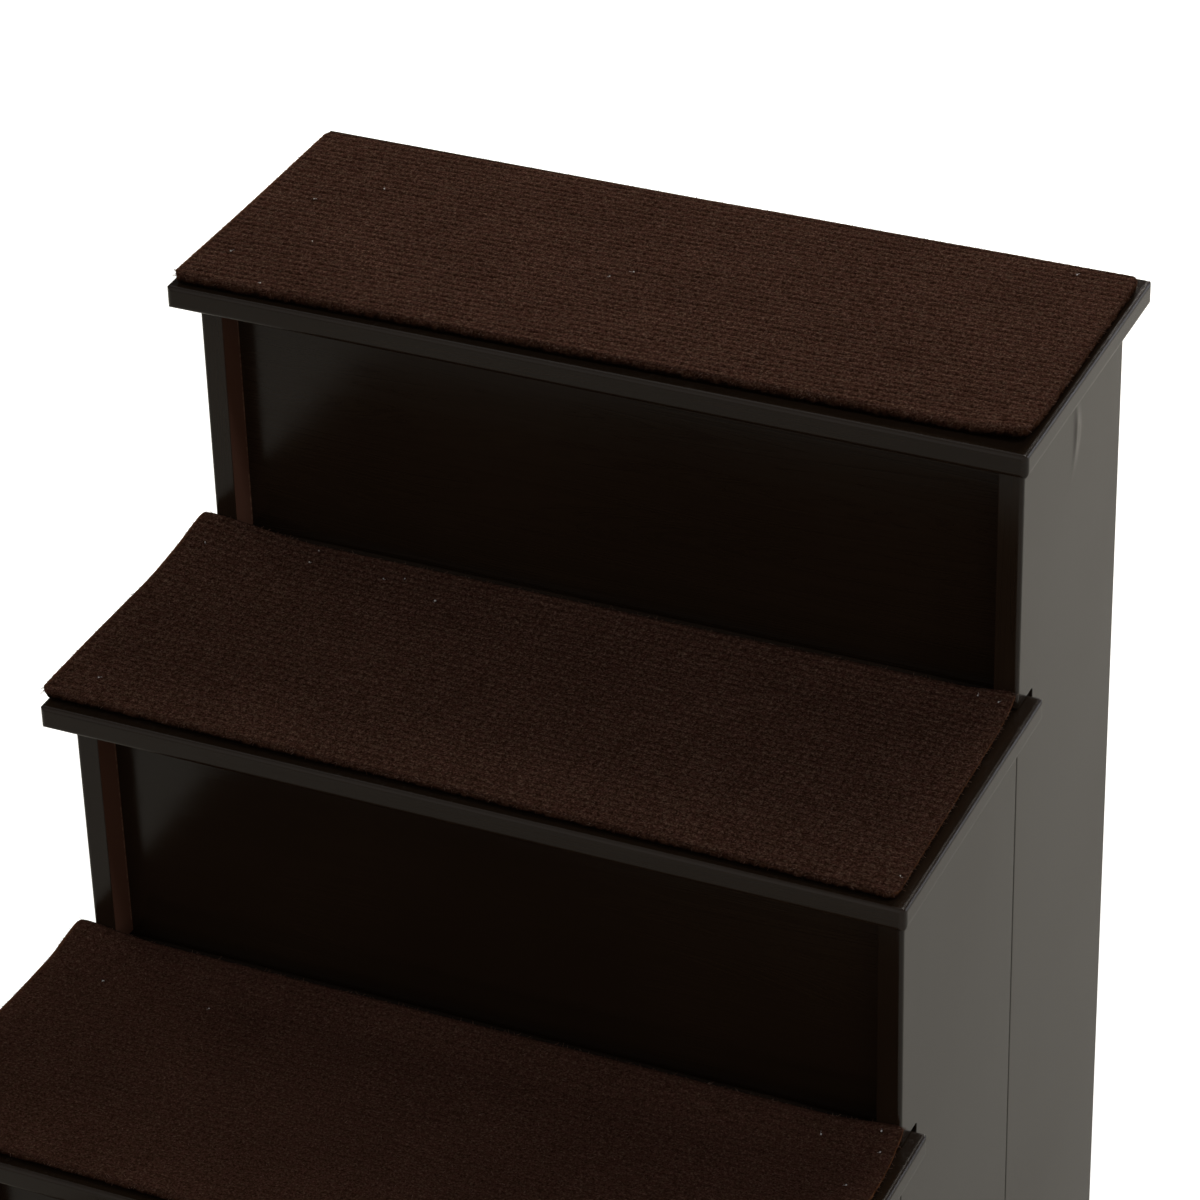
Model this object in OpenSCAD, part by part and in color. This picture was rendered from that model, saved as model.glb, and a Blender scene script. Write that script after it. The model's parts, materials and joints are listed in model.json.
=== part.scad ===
// Wooden pet stairs with a carpet pad on each tread.
// Millimetres, +Z up. The first step is at the front, towards -Y, and the highest at the back.
// The origin is on the floor, under the middle of the overall width and depth.

/* [Steps] */
// Number of steps
step_count = 4; // [2:1:6]
// Height of one step
rise = 137; // [120:1:160]
// Depth of the side boards of every step but the last, front to back
going = 136.5; // [125:0.5:160]

/* [Treads] */
// Length of a tread, across the stairs
tread_l = 400; // [340:1:460]
// Thickness of a tread
tread_t = 11; // [10:0.5:16]
// Overhang of a tread in front of its side boards
nose = 16.5; // [10:0.5:25]
// Overhang of a tread's ends past the side boards
side_overhang = 7; // [4:0.5:12]
// Overhang of the top tread behind the rear side boards
back_overhang = 16; // [6:0.5:25]
// Rounding of a tread's edges
tread_edge_r = 2; // [0.5:0.25:3.5]
// Rounding of a tread's upright corners
tread_corner_r = 3; // [1:0.5:6]

/* [Side boards] */
// Thickness of a side board
side_t = 11; // [10:0.5:16]
// Depth of the rear side boards, front to back
rear_board_d = 129.5; // [110:0.5:160]
// Rounding of the side boards' outer upright edges
board_edge_r = 2; // [0.5:0.25:4]
// Height left free above a tread in the slot that it runs back into
slot_gap_above = 1; // [0.5:0.25:2]
// Depth left free behind a tread in that slot
slot_gap_behind = 4.5; // [2:0.5:8]
// Radius that the cutter leaves in the slot's inner corners
slot_corner_r = 1.5; // [0.5:0.25:2.5]

/* [Risers] */
// Thickness of a riser
riser_t = 11; // [10:0.5:16]
// Distance of a riser's face behind the front of its side boards
riser_recess = 14.5; // [10:0.5:20]

/* [Battens and rear rails] */
// Width of a batten, from the side board inwards
batten_w = 15; // [12:0.5:22]
// Height of a batten
batten_h = 20; // [16:0.5:28]
// Thickness of a rear rail
rail_t = 11; // [10:0.5:16]
// Height of a rear rail
rail_h = 60; // [40:1:90]

/* [Carpet pads] */
// Thickness of a pad
pad_t = 5; // [3:0.5:8]
// Distance of a pad's ends from the tread's ends
pad_margin = 4.5; // [2:0.5:12]
// Distance of a pad's front behind the tread's front edge
pad_setback = 7.5; // [3:0.5:15]
// Gap between a pad and the side boards behind it
pad_gap = 0.5; // [0.5:0.5:4]
// Distance of the top pad's front behind the tread's front edge
top_pad_setback = 9.5; // [3:0.5:20]
// Distance of the top pad's back from the tread's back edge
top_pad_back = 12.5; // [3:0.5:20]
// Rounding of a pad's corners
pad_corner_r = 4; // [1:0.5:8]
// Rounding of a pad's edges
pad_edge_r = 1.25; // [0.5:0.25:1.5]

/* [Hook tape] */
// Thickness of the tape between a pad and its tread
tape_t = 1.2; // [0.8:0.1:2]
// Width of a strip of tape
tape_w = 20; // [12:1:30]
// Distance of a strip from the pad's edges
tape_inset = 14; // [8:1:25]

/* [Floor glides] */
// Diameter of a glide
glide_d = 18; // [12:1:20]
// Height of a glide
glide_t = 3; // [2:0.5:6]
// Distance of a glide from the end of the wood above it
glide_inset = 4; // [1:0.5:10]
// Bevel around a glide's foot
glide_bevel = 0.8; // [0.2:0.1:1.5]

/* [Dowels] */
// Diameter of a dowel
dowel_d = 6; // [5:0.5:7]
// Depth of a dowel in a side board
dowel_bite = 7; // [5:0.5:8]
// Depth of a dowel in the end of a riser or rail
dowel_run = 19; // [12:1:30]
// Bevel of a dowel's ends
dowel_bevel = 1; // [0.25:0.25:1.5]

/* [Screws] */
// Diameter of a screw's shank
screw_d = 4; // [3:0.5:4.5]
// Diameter of a screw's countersunk head
screw_head_d = 8; // [6.5:0.5:9]
// Length of a screw's point
screw_point = 3; // [2:0.5:5]
// Depth of a screw in the face of a board
face_bite = 7; // [5:0.5:8]
// Depth of a screw in the edge of a tread
edge_bite = 14; // [8:0.5:22]

/* [Hidden] */
$fn = 48;
// Play between a fastener and its hole, and beyond a dowel's or screw's end
fastener_gap = 0.1;
end_gap = 0.5;
// How far a cut runs past what it cuts
overrun = 1;
// Places along a joint, as shares of its length
batten_screw_shares = [0.15, 0.85];
tread_screw_shares = [0.35, 0.65];
dowel_shares = [0.25, 0.75];
// Places across the stairs, as shares of half the inner width
riser_screw_shares = [-0.7, 0, 0.7];

espresso = [0.13, 0.11, 0.1];
carpet_brown = [0.24, 0.15, 0.1];
tape_black = [0.08, 0.08, 0.08];
beech = [0.78, 0.62, 0.42];
zinc = [0.72, 0.73, 0.75];
rubber_grey = [0.25, 0.25, 0.26];

body_d = (step_count - 1) * going + rear_board_d;
overall_d = nose + body_d + back_overhang;
first_front_y = nose - overall_d / 2;
rear_y = first_front_y + body_d;
board_outer_x = tread_l / 2 - side_overhang;
board_inner_x = board_outer_x - side_t;
batten_inner_x = board_inner_x - batten_w;
riser_back = riser_recess + riser_t;
dowel_l = dowel_run + dowel_bite;

SIDES = ["left", "right"];

function batten_name(side, k) = k == 0 ? str(side, "_base_batten") : str(side, "_batten_", k);

// Heights of a tread, and the front and depth of the side boards under it
function tread_top(i) = i * rise;
function tread_under(i) = tread_top(i) - tread_t;
function front_y(i) = first_front_y + (i - 1) * going;
function board_d(i) = i == step_count ? rear_board_d : going;

// A tread runs back to the riser of the next step, and the top one overhangs the back
function tread_front(i) = front_y(i) - nose;
function tread_back(i) = i == step_count ? rear_y + back_overhang : front_y(i + 1) + riser_recess;
function tread_d(i) = tread_back(i) - tread_front(i);

// A riser stands level with the underside of the tread in front of it
function riser_z(i) = i == 1 ? glide_t : tread_under(i - 1);
function riser_h(i) = tread_under(i) - riser_z(i);

// Batten 0 lies at the floor, and batten k under tread k; both run back to the rear rails
function batten_z(k) = k == 0 ? glide_t : tread_under(k) - batten_h;
function batten_front(k) = front_y(max(k, 1)) + riser_back;
batten_back = rear_y - rail_t;

function pad_front(i) = tread_front(i) + (i == step_count ? top_pad_setback : pad_setback);
function pad_back(i) = i == step_count ? tread_back(i) - top_pad_back : front_y(i + 1) - pad_gap;
function pad_d(i) = pad_back(i) - pad_front(i);
pad_l = tread_l - 2 * pad_margin;

function between(low, high, share) = low + (high - low) * share;

// The sliver outside a quarter round of radius r, for a corner at the origin that points to -X -Y
module corner_waste(r) {
    difference() {
        translate([-overrun, -overrun]) square(r + overrun);
        translate([r, r]) circle(r);
    }
}

// A rectangle about the origin in X, from 0 up in Y, with four round corners
module rounded_rect(w, h, r) {
    difference() {
        translate([-w / 2, 0]) square([w, h]);
        for (flip_x = [0, 1], flip_y = [0, 1])
            mirror([flip_x, 0]) translate([0, flip_y * h]) mirror([0, flip_y])
                translate([-w / 2, 0]) corner_waste(r);
    }
}

// A board lying flat with every edge and upright corner rounded, its front at y = 0
module rounded_slab(l, d, t, edge_r, corner_r) {
    intersection() {
        linear_extrude(t) rounded_rect(l, d, corner_r);
        translate([0, d, 0]) rotate([90, 0, 0]) linear_extrude(d) rounded_rect(l, t, edge_r);
        translate([-l / 2, d / 2, 0]) rotate([90, 0, 90]) linear_extrude(l) rounded_rect(d, t, edge_r);
    }
}

// Pieces are drawn for the right side, and mirrored for the left
module on_side(side) {
    mirror([side == "left" ? 1 : 0, 0, 0]) children();
}

module on_both_sides() {
    for (side = SIDES) on_side(side) children();
}

// Fasteners along +Z, and the holes that they need
module screw(l) {
    head_r = screw_head_d / 2;
    shank_r = screw_d / 2;
    rotate_extrude() polygon([
        [0, 0], [head_r, 0], [shank_r, head_r - shank_r], [shank_r, l - screw_point], [0, l]
    ]);
}

module screw_hole(l) {
    head_r = screw_head_d / 2 + fastener_gap;
    shank_r = screw_d / 2 + fastener_gap;
    rotate_extrude() polygon([
        [0, -overrun], [head_r, -overrun], [head_r, 0], [shank_r, head_r - shank_r],
        [shank_r, l + end_gap], [0, l + end_gap]
    ]);
}

module dowel() {
    r = dowel_d / 2;
    rotate_extrude() polygon([
        [0, 0], [r - dowel_bevel, 0], [r, dowel_bevel], [r, dowel_l - dowel_bevel],
        [r - dowel_bevel, dowel_l], [0, dowel_l]
    ]);
}

module dowel_hole() {
    translate([0, 0, -end_gap]) cylinder(h = dowel_l + 2 * end_gap, r = dowel_d / 2 + fastener_gap);
}

// Screws from the inner face of batten k into side board i
module at_batten_screws(k, i) {
    low = max(front_y(i), batten_front(k));
    high = min(front_y(i) + board_d(i), batten_back);
    for (share = batten_screw_shares)
        translate([batten_inner_x, between(low, high, share), batten_z(k) + batten_h / 2])
            rotate([0, 90, 0]) children();
}

// Screws from below a batten into the tread that it carries
module at_tread_screws(i) {
    high = min(tread_back(i), batten_back);
    for (share = tread_screw_shares)
        translate([board_inner_x - batten_w / 2, between(batten_front(i), high, share), batten_z(i)])
            children();
}

// Screws from the back of riser i into the rear edge of the tread in front of it
module at_riser_screws(i) {
    for (share = riser_screw_shares)
        translate([board_inner_x * share, front_y(i) + riser_back, tread_under(i - 1) + tread_t / 2])
            rotate([90, 0, 0]) children();
}

// Dowels across the joint between an upright end of height h, from z up, and a side board
module at_dowels(y, z, h) {
    for (share = dowel_shares)
        translate([board_inner_x - dowel_run, y, z + h * share]) rotate([0, 90, 0]) children();
}

module at_riser_dowels(i) {
    at_dowels(front_y(i) + riser_recess + riser_t / 2, riser_z(i), riser_h(i)) children();
}

module at_rail_dowels(z) {
    at_dowels(rear_y - rail_t / 2, z, rail_h) children();
}

lower_rail_z = glide_t;
upper_rail_z = tread_under(step_count) - rail_h;

module tread(i) {
    color(espresso) difference() {
        translate([0, tread_front(i), tread_under(i)])
            rounded_slab(tread_l, tread_d(i), tread_t, tread_edge_r, tread_corner_r);
        on_both_sides() at_tread_screws(i) screw_hole(batten_h + face_bite);
        if (i < step_count) at_riser_screws(i + 1) screw_hole(riser_t + edge_bite);
    }
}

module riser(i) {
    color(espresso) difference() {
        translate([-board_inner_x, front_y(i) + riser_recess, riser_z(i)])
            cube([2 * board_inner_x, riser_t, riser_h(i)]);
        on_both_sides() at_riser_dowels(i) dowel_hole();
        if (i > 1) at_riser_screws(i) screw_hole(riser_t + edge_bite);
    }
}

// Outline of a side board seen from above, from its inner face outwards
module board_plan(i) {
    difference() {
        square([side_t, board_d(i)]);
        translate([side_t, 0]) mirror([1, 0]) corner_waste(board_edge_r);
        if (i == step_count) translate([side_t, board_d(i)]) rotate(180) corner_waste(board_edge_r);
    }
}

// The slot in the front edge of side board i, which takes the rear end of the tread in front of it
module tread_slot(i) {
    slot_d = riser_recess + slot_gap_behind;
    slot_h = tread_t + slot_gap_above;
    translate([board_inner_x - overrun, front_y(i), tread_under(i - 1)])
        rotate([90, 0, 90]) linear_extrude(side_t + 2 * overrun) difference() {
            translate([-overrun, 0]) square([slot_d + overrun, slot_h]);
            translate([slot_d, 0]) mirror([1, 0]) corner_waste(slot_corner_r);
            translate([slot_d, slot_h]) rotate(180) corner_waste(slot_corner_r);
        }
}

module side_board(side, i) {
    color(espresso) on_side(side) difference() {
        translate([board_inner_x, front_y(i), glide_t])
            linear_extrude(tread_under(i) - glide_t) board_plan(i);
        if (i > 1) tread_slot(i);
        at_riser_dowels(i) dowel_hole();
        for (k = [0:i]) at_batten_screws(k, i) screw_hole(batten_w + face_bite);
        if (i == step_count)
            for (z = [lower_rail_z, upper_rail_z]) at_rail_dowels(z) dowel_hole();
    }
}

module batten(side, k) {
    color(espresso) on_side(side) difference() {
        translate([batten_inner_x, batten_front(k), batten_z(k)])
            cube([batten_w, batten_back - batten_front(k), batten_h]);
        for (i = [max(k, 1):step_count]) at_batten_screws(k, i) screw_hole(batten_w + face_bite);
        if (k > 0) at_tread_screws(k) screw_hole(batten_h + face_bite);
    }
}

module rear_rail(z) {
    color(espresso) difference() {
        translate([-board_inner_x, rear_y - rail_t, z]) cube([2 * board_inner_x, rail_t, rail_h]);
        on_both_sides() at_rail_dowels(z) dowel_hole();
    }
}

module carpet(i) {
    color(carpet_brown) translate([0, pad_front(i), tread_top(i) + tape_t])
        rounded_slab(pad_l, pad_d(i), pad_t, pad_edge_r, pad_corner_r);
}

module hook_tapes() {
    color(tape_black) for (i = [1:step_count], y = [pad_front(i) + tape_inset, pad_back(i) - tape_inset - tape_w])
        translate([tape_inset - pad_l / 2, y, tread_top(i)]) cube([pad_l - 2 * tape_inset, tape_w, tape_t]);
}

// One under each end of a base batten, and one under the middle joint between the side boards
module floor_glides() {
    glide_r = glide_d / 2;
    from_end = glide_inset + glide_r;
    middle = front_y(ceil(step_count / 2) + 1);
    color(rubber_grey) on_both_sides() for (y = [batten_front(0) + from_end, middle, rear_y - from_end])
        translate([board_inner_x, y, 0]) rotate_extrude() polygon([
            [0, 0], [glide_r - glide_bevel, 0], [glide_r, glide_bevel], [glide_r, glide_t], [0, glide_t]
        ]);
}

module riser_dowels() {
    color(beech) on_both_sides() for (i = [1:step_count]) at_riser_dowels(i) dowel();
}

module rail_dowels() {
    color(beech) on_both_sides() for (z = [lower_rail_z, upper_rail_z]) at_rail_dowels(z) dowel();
}

module batten_screws() {
    color(zinc) on_both_sides() for (k = [0:step_count], i = [max(k, 1):step_count])
        at_batten_screws(k, i) screw(batten_w + face_bite);
}

module tread_screws() {
    color(zinc) on_both_sides() for (i = [1:step_count]) at_tread_screws(i) screw(batten_h + face_bite);
}

module riser_screws() {
    color(zinc) for (i = [2:step_count]) at_riser_screws(i) screw(riser_t + edge_bite);
}

for (i = [1:step_count]) {
    tread(i);
    riser(i);
    carpet(i);
}
for (side = SIDES, i = [1:step_count])
    side_board(side, i);
for (side = SIDES, k = [0:step_count])
    batten(side, k);
rear_rail(lower_rail_z);  // lower_rear_rail
rear_rail(upper_rail_z);  // upper_rear_rail
hook_tapes();
floor_glides();
riser_dowels();
rail_dowels();
batten_screws();
tread_screws();
riser_screws();
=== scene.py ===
import json
import math
import random

import bmesh
import bpy
from mathutils import Matrix, Vector, noise


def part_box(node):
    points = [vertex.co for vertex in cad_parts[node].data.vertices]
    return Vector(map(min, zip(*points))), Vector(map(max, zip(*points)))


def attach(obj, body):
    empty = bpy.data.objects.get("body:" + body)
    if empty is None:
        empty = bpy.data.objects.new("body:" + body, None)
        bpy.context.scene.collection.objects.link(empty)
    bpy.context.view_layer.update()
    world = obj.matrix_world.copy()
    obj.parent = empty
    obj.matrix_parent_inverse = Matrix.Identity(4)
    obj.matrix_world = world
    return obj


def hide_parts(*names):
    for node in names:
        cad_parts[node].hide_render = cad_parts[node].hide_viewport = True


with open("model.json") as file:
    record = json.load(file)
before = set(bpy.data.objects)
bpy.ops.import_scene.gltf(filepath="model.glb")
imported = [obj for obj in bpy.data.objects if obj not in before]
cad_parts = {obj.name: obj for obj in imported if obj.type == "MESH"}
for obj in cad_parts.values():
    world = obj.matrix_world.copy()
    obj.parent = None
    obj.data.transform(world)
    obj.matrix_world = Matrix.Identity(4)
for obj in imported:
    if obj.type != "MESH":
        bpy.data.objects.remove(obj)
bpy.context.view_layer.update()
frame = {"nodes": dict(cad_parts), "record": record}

nodes = frame["nodes"]
slotOf = {part["node"]: part["material_slot"] for part in frame["record"]["subparts"]}
mm = 0.001
print("frame loaded, nodes:", len(nodes))


# shader helpers

def put(tree, kind, plugs=(), **settings):
    node = tree.nodes.new(kind)
    for name, value in settings.items():
        setattr(node, name, value)
    for name, value in dict(plugs).items():
        if isinstance(value, bpy.types.NodeSocket):
            tree.links.new(value, node.inputs[name])
        else:
            node.inputs[name].default_value = value
    return node


def sums(tree, how, first, second=0.0, third=0.0):
    return put(tree, "ShaderNodeMath", {0: first, 1: second, 2: third}, operation=how).outputs[0]


def plus(tree, first, second):
    return sums(tree, "ADD", first, second)


def times(tree, first, second):
    return sums(tree, "MULTIPLY", first, second)


def vectors(tree, how, first, second, result="Vector"):
    return put(tree, "ShaderNodeVectorMath", {0: first, 1: second}, operation=how).outputs[result]


def blendColours(tree, amount, first, second, how="MIX"):
    node = put(tree, "ShaderNodeMix", {0: amount, 6: first, 7: second}, data_type="RGBA", blend_type=how)
    return node.outputs[2]


# a colour made darker or lighter by a value
def tint(tree, colour, value):
    grey = put(tree, "ShaderNodeCombineColor", {0: value, 1: value, 2: value}).outputs[0]
    return blendColours(tree, 1.0, colour, grey, "MULTIPLY")


def remap(tree, value, fromLow, fromHigh, toLow=0.0, toHigh=1.0):
    plugs = {0: value, 1: fromLow, 2: fromHigh, 3: toLow, 4: toHigh}
    return put(tree, "ShaderNodeMapRange", plugs).outputs[0]


def addNoise(tree, where, scale, detail, roughness=0.5):
    plugs = {"Vector": where, "Scale": scale, "Detail": detail, "Roughness": roughness}
    return put(tree, "ShaderNodeTexNoise", plugs).outputs[0]


def startGroup(name, inlets, outlets):
    group = bpy.data.node_groups.new(name, "ShaderNodeTree")
    for direction, sockets in (("INPUT", inlets), ("OUTPUT", outlets)):
        for label, kind in sockets:
            group.interface.new_socket(label, in_out=direction, socket_type="NodeSocket" + kind)
    return group, group.nodes.new("NodeGroupInput").outputs, group.nodes.new("NodeGroupOutput").inputs


def useGroup(tree, group, **plugs):
    return put(tree, "ShaderNodeGroup", plugs, node_tree=group).outputs


def startMaterial(name):
    material = bpy.data.materials.new(name)
    material.use_nodes = True
    tree = material.node_tree
    return material, tree, tree.nodes["Principled BSDF"]


def objectPlace(tree, scale=(1, 1, 1), turn=(0, 0, 0)):
    where = put(tree, "ShaderNodeTexCoord").outputs["Object"]
    return put(tree, "ShaderNodeMapping", {"Vector": where, "Scale": scale, "Rotation": turn}).outputs[0]


def isCameraRay(tree):
    return put(tree, "ShaderNodeLightPath").outputs["Is Camera Ray"]


def giveLook(tree, shader, colour, roughness):
    tree.links.new(colour, shader.inputs["Base Color"])
    tree.links.new(roughness, shader.inputs["Roughness"])


def giveBump(tree, shader, height, strength, rise, **more):
    bump = put(tree, "ShaderNodeBump", {"Strength": strength, "Distance": rise, "Height": height, **more})
    tree.links.new(bump.outputs[0], shader.inputs["Normal"])


# camera, floor and light

view = {
    "place": (0.74938, -1.48721, 1.56430),
    "turn": (57.47261, 1.40521, 23.88359),  # degrees, about X, Y and Z
    "lens": 144.751,
    "sensor": 36,
}

floor = {
    "size": 24.0,
    "colour": (0.70, 0.69, 0.64, 1),
    "roughness": 0.7,
    "specular": 0.1,
    "glow": (1, 1, 1, 1),
    "lift": 0.88,  # how strongly it glows, for the camera alone
}

# radiance is what the face of the lamp shows
lamps = {
    "overLamp": {
        "place": (0.25, 1.90, 2.60), "size": (1.4, 0.6),
        "radiance": 4.2, "colour": (1.0, 0.956, 0.878),
    },
    "backStrip": {
        "place": (0.20, 2.50, 1.40), "size": (0.9, 0.3),
        "radiance": 26.0, "colour": (1.0, 0.93, 0.87),
    },
    "lineLamp": {
        "place": (-0.95, 0.85, 2.67), "size": (1.4, 1.4),
        "radiance": 0.36, "colour": (1.0, 0.98, 0.95),
    },
    "lowStrip": {
        "place": (1.90, 2.50, 1.10), "size": (1.6, 0.35),
        "radiance": 2.9, "colour": (0.88, 0.91, 1.0),
    },
    "leftLamp": {
        "place": (-2.40, 1.00, 1.10), "size": (1.2, 1.0),
        "radiance": 3.2, "colour": (1.0, 0.95, 0.80),
    },
    "backdropLamp": {
        "place": (2.70, 2.90, 0.45), "size": (2.2, 0.5),
        "radiance": 1.6, "colour": (0.96, 0.97, 1.0),
    },
    "sparkLamp": {
        "place": (1.45, -0.35, 2.30), "size": (0.24, 0.24),
        "radiance": 39.0, "colour": (0.87, 0.92, 1.0),
    },
}
lampsLookAt = (0, 0.1, 0.4)

# soft patches of light round the room: direction, radiance at the middle and colour
sky = {
    "pale": (1.0, 1.0, 1.0, 1),  # what the camera sees behind the floor
    "wall": 0.045,
    "fade": (0.15, 0.95),  # cosines from the aim, where a patch starts and where it is full
    "patches": {
        "front": ((0.1, -0.95, 0.35), 0.36, (1.0, 0.96, 0.90)),
    },
}


def makeCamera():
    lens = bpy.data.cameras.new("viewCamera")
    lens.lens = view["lens"]
    lens.sensor_width = view["sensor"]
    camera = bpy.data.objects.new("viewCamera", lens)
    camera.location = view["place"]
    camera.rotation_euler = [math.radians(a) for a in view["turn"]]
    bpy.context.scene.collection.objects.link(camera)
    bpy.context.scene.camera = camera


def makeFloor():
    bm = bmesh.new()
    bmesh.ops.create_grid(bm, x_segments=2, y_segments=2, size=floor["size"] / 2)
    mesh = bpy.data.meshes.new("studioFloor")
    bm.to_mesh(mesh)
    bm.free()
    item = bpy.data.objects.new("studioFloor", mesh)
    material, tree, shader = startMaterial("studioFloor")
    shader.inputs["Base Color"].default_value = floor["colour"]
    shader.inputs["Roughness"].default_value = floor["roughness"]
    shader.inputs["Specular IOR Level"].default_value = floor["specular"]
    shader.inputs["Emission Color"].default_value = floor["glow"]
    tree.links.new(times(tree, isCameraRay(tree), floor["lift"]), shader.inputs["Emission Strength"])
    mesh.materials.append(material)
    bpy.context.scene.collection.objects.link(item)


def makeSky():
    world = bpy.data.worlds.new("studio")
    world.use_nodes = True
    tree = world.node_tree
    tree.nodes.clear()
    towards = put(tree, "ShaderNodeTexCoord").outputs["Generated"]
    glow = (sky["wall"],) * 3
    for name, (aim, radiance, colour) in sky["patches"].items():
        facing = vectors(tree, "DOT_PRODUCT", towards, Vector(aim).normalized(), "Value")
        strength = times(tree, remap(tree, facing, *sky["fade"]), radiance)
        strength.node.name = name
        tinted = put(tree, "ShaderNodeVectorMath", {0: colour, "Scale": strength}, operation="SCALE")
        glow = vectors(tree, "ADD", tinted.outputs[0], glow)
    colour = blendColours(tree, isCameraRay(tree), glow, sky["pale"])
    back = put(tree, "ShaderNodeBackground", {"Color": colour})
    tree.links.new(back.outputs[0], put(tree, "ShaderNodeOutputWorld").inputs["Surface"])
    bpy.context.scene.world = world


def makeLamp(name, lamp):
    data = bpy.data.lights.new(name, "AREA")
    data.shape = "RECTANGLE"
    data.size, data.size_y = lamp["size"]
    data.energy = lamp["radiance"] * math.pi * data.size * data.size_y
    data.color = lamp["colour"]
    item = bpy.data.objects.new(name, data)
    item.location = lamp["place"]
    away = Vector(lamp["place"]) - Vector(lampsLookAt)
    item.rotation_euler = away.to_track_quat("Z", "Y").to_euler()
    bpy.context.scene.collection.objects.link(item)


makeCamera()
bpy.context.scene.view_settings.view_transform = "Standard"
makeFloor()
makeSky()
for lampName, lamp in lamps.items():
    makeLamp(lampName, lamp)
print("camera, floor and light made")


# effects that several looks share; noises are given as scale, detail and roughness

# grain runs along X of the vector that comes in
grainLook = {
    "stretch": (0.035, 1, 1),
    "bend": (22.0, 2.0),
    "lines": (5.0, 0.62),  # the scale comes in
    "lineRange": (0.36, 0.66),
    "cloud": (7.0, 3.0),
    "cloudRange": (0.3, 0.7),
}


def makeGrainGroup():
    inlets = [("Vector", "Vector"), ("Density", "Float")]
    group, ins, outs = startGroup("panelGrain", inlets, [("Grain", "Float"), ("Cloud", "Float")])
    plugs = {"Vector": ins["Vector"], "Scale": grainLook["stretch"]}
    long = put(group, "ShaderNodeMapping", plugs).outputs[0]
    bent = vectors(group, "ADD", long, addNoise(group, long, *grainLook["bend"]))
    lines = addNoise(group, bent, ins["Density"], *grainLook["lines"])
    cloud = addNoise(group, ins["Vector"], *grainLook["cloud"])
    group.links.new(remap(group, lines, *grainLook["lineRange"]), outs["Grain"])
    group.links.new(remap(group, cloud, *grainLook["cloudRange"]), outs["Cloud"])
    return group


# the skin of sprayed paint, with a few specks caught in it
peelLook = {
    "peel": (2.0, 0.45),  # the scale comes in
    "nibScale": 0.16,
    "nibRange": (0.035, 0.0),
}


def makePeelGroup():
    inlets = [("Vector", "Vector"), ("Size", "Float")]
    group, ins, outs = startGroup("sprayPeel", inlets, [("Peel", "Float"), ("Nibs", "Float")])
    peel = addNoise(group, ins["Vector"], ins["Size"], *peelLook["peel"])
    plugs = {"Vector": ins["Vector"], "Scale": times(group, ins["Size"], peelLook["nibScale"])}
    cells = put(group, "ShaderNodeTexVoronoi", plugs)
    group.links.new(peel, outs["Peel"])
    group.links.new(remap(group, cells.outputs["Distance"], *peelLook["nibRange"]), outs["Nibs"])
    return group


# how far the surface turns within a small radius: 1 on an edge, 0 on a flat face
edgeLook = {"samples": 6, "range": (0.995, 0.88)}


def makeEdgeGroup():
    group, ins, outs = startGroup("edgeMask", [("Radius", "Float")], [("Edge", "Float")])
    soft = put(group, "ShaderNodeBevel", {"Radius": ins["Radius"]}, samples=edgeLook["samples"]).outputs[0]
    true = put(group, "ShaderNodeNewGeometry").outputs["True Normal"]
    same = vectors(group, "DOT_PRODUCT", soft, true, "Value")
    group.links.new(remap(group, same, *edgeLook["range"]), outs["Edge"])
    return group


# fine dust in patches, on faces that look upwards
dustLook = {
    "upRange": (0.6, 0.98),
    "specks": (420.0, 3.0, 0.7),
    "speckRange": (0.52, 0.78),
    "patch": (9.0, 2.0),
    "patchRange": (0.35, 0.7),
}


def makeDustGroup():
    inlets = [("Vector", "Vector"), ("Amount", "Float")]
    group, ins, outs = startGroup("restingDust", inlets, [("Dust", "Float")])
    normal = put(group, "ShaderNodeNewGeometry").outputs["Normal"]
    up = put(group, "ShaderNodeSeparateXYZ", {0: normal}).outputs[2]
    flat = remap(group, up, *dustLook["upRange"])
    specks = remap(group, addNoise(group, ins["Vector"], *dustLook["specks"]), *dustLook["speckRange"])
    patch = remap(group, addNoise(group, ins["Vector"], *dustLook["patch"]), *dustLook["patchRange"])
    fine = times(group, times(group, specks, patch), flat)
    group.links.new(times(group, fine, ins["Amount"]), outs["Dust"])
    return group


grainGroup = makeGrainGroup()
peelGroup = makePeelGroup()
edgeGroup = makeEdgeGroup()
dustGroup = makeDustGroup()


# paint on the boards

paint = {
    "deep": (0.0220, 0.0128, 0.0072, 1),
    # one coat of paint on the inward faces, also painted lighter: painted light in place of the light
    # falling into the recesses
    "thinCoatLit": (0.1750, 0.0780, 0.0500, 1),  # one coat, on the faces that look inwards
    "worn": (0.045, 0.023, 0.016, 1),
    "dust": (0.20, 0.19, 0.18, 1),
    "ior": 1.45,
    "grainDensity": 260.0,
    "peelSize": 750.0,
    "edgeRadius": 1.6 * mm,
    "dustAmount": 0.5,
    "cloudTone": (0.86, 1.10),
    "pieceTone": (-0.06, 0.06),
    "grainTone": (0.88, 1.08),
    "inwardRange": (0.8, 0.98),
    "rubbed": (0.35, 0.9, 0.10, 0.55),
    "dustCover": 0.16,
    "roughness": (0.13, 0.21),
    "grainRoughness": 0.03,
    "dustRoughness": 0.22,
    "grainHeight": 0.30,
    "peelHeight": 0.22,
    "nibHeight": 0.5,
    "bump": (0.35, 0.06 * mm),
    "bevel": 0.9 * mm,
    "bevelSamples": 6,
}

# a broken line of pale colour on the inward faces where each riser meets the side; from and risers are
# along Y
riserSeam = {
    "colour": (0.38, 0.21, 0.13, 1),
    "risers": 136.5 * mm,
    "from": 17.6 * mm,
    "half": 0.6 * mm,
    "core": 0.4,
    "breaks": (380.0, 3.0, 0.7),
    "breakRange": (0.42, 0.62),
}

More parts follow.
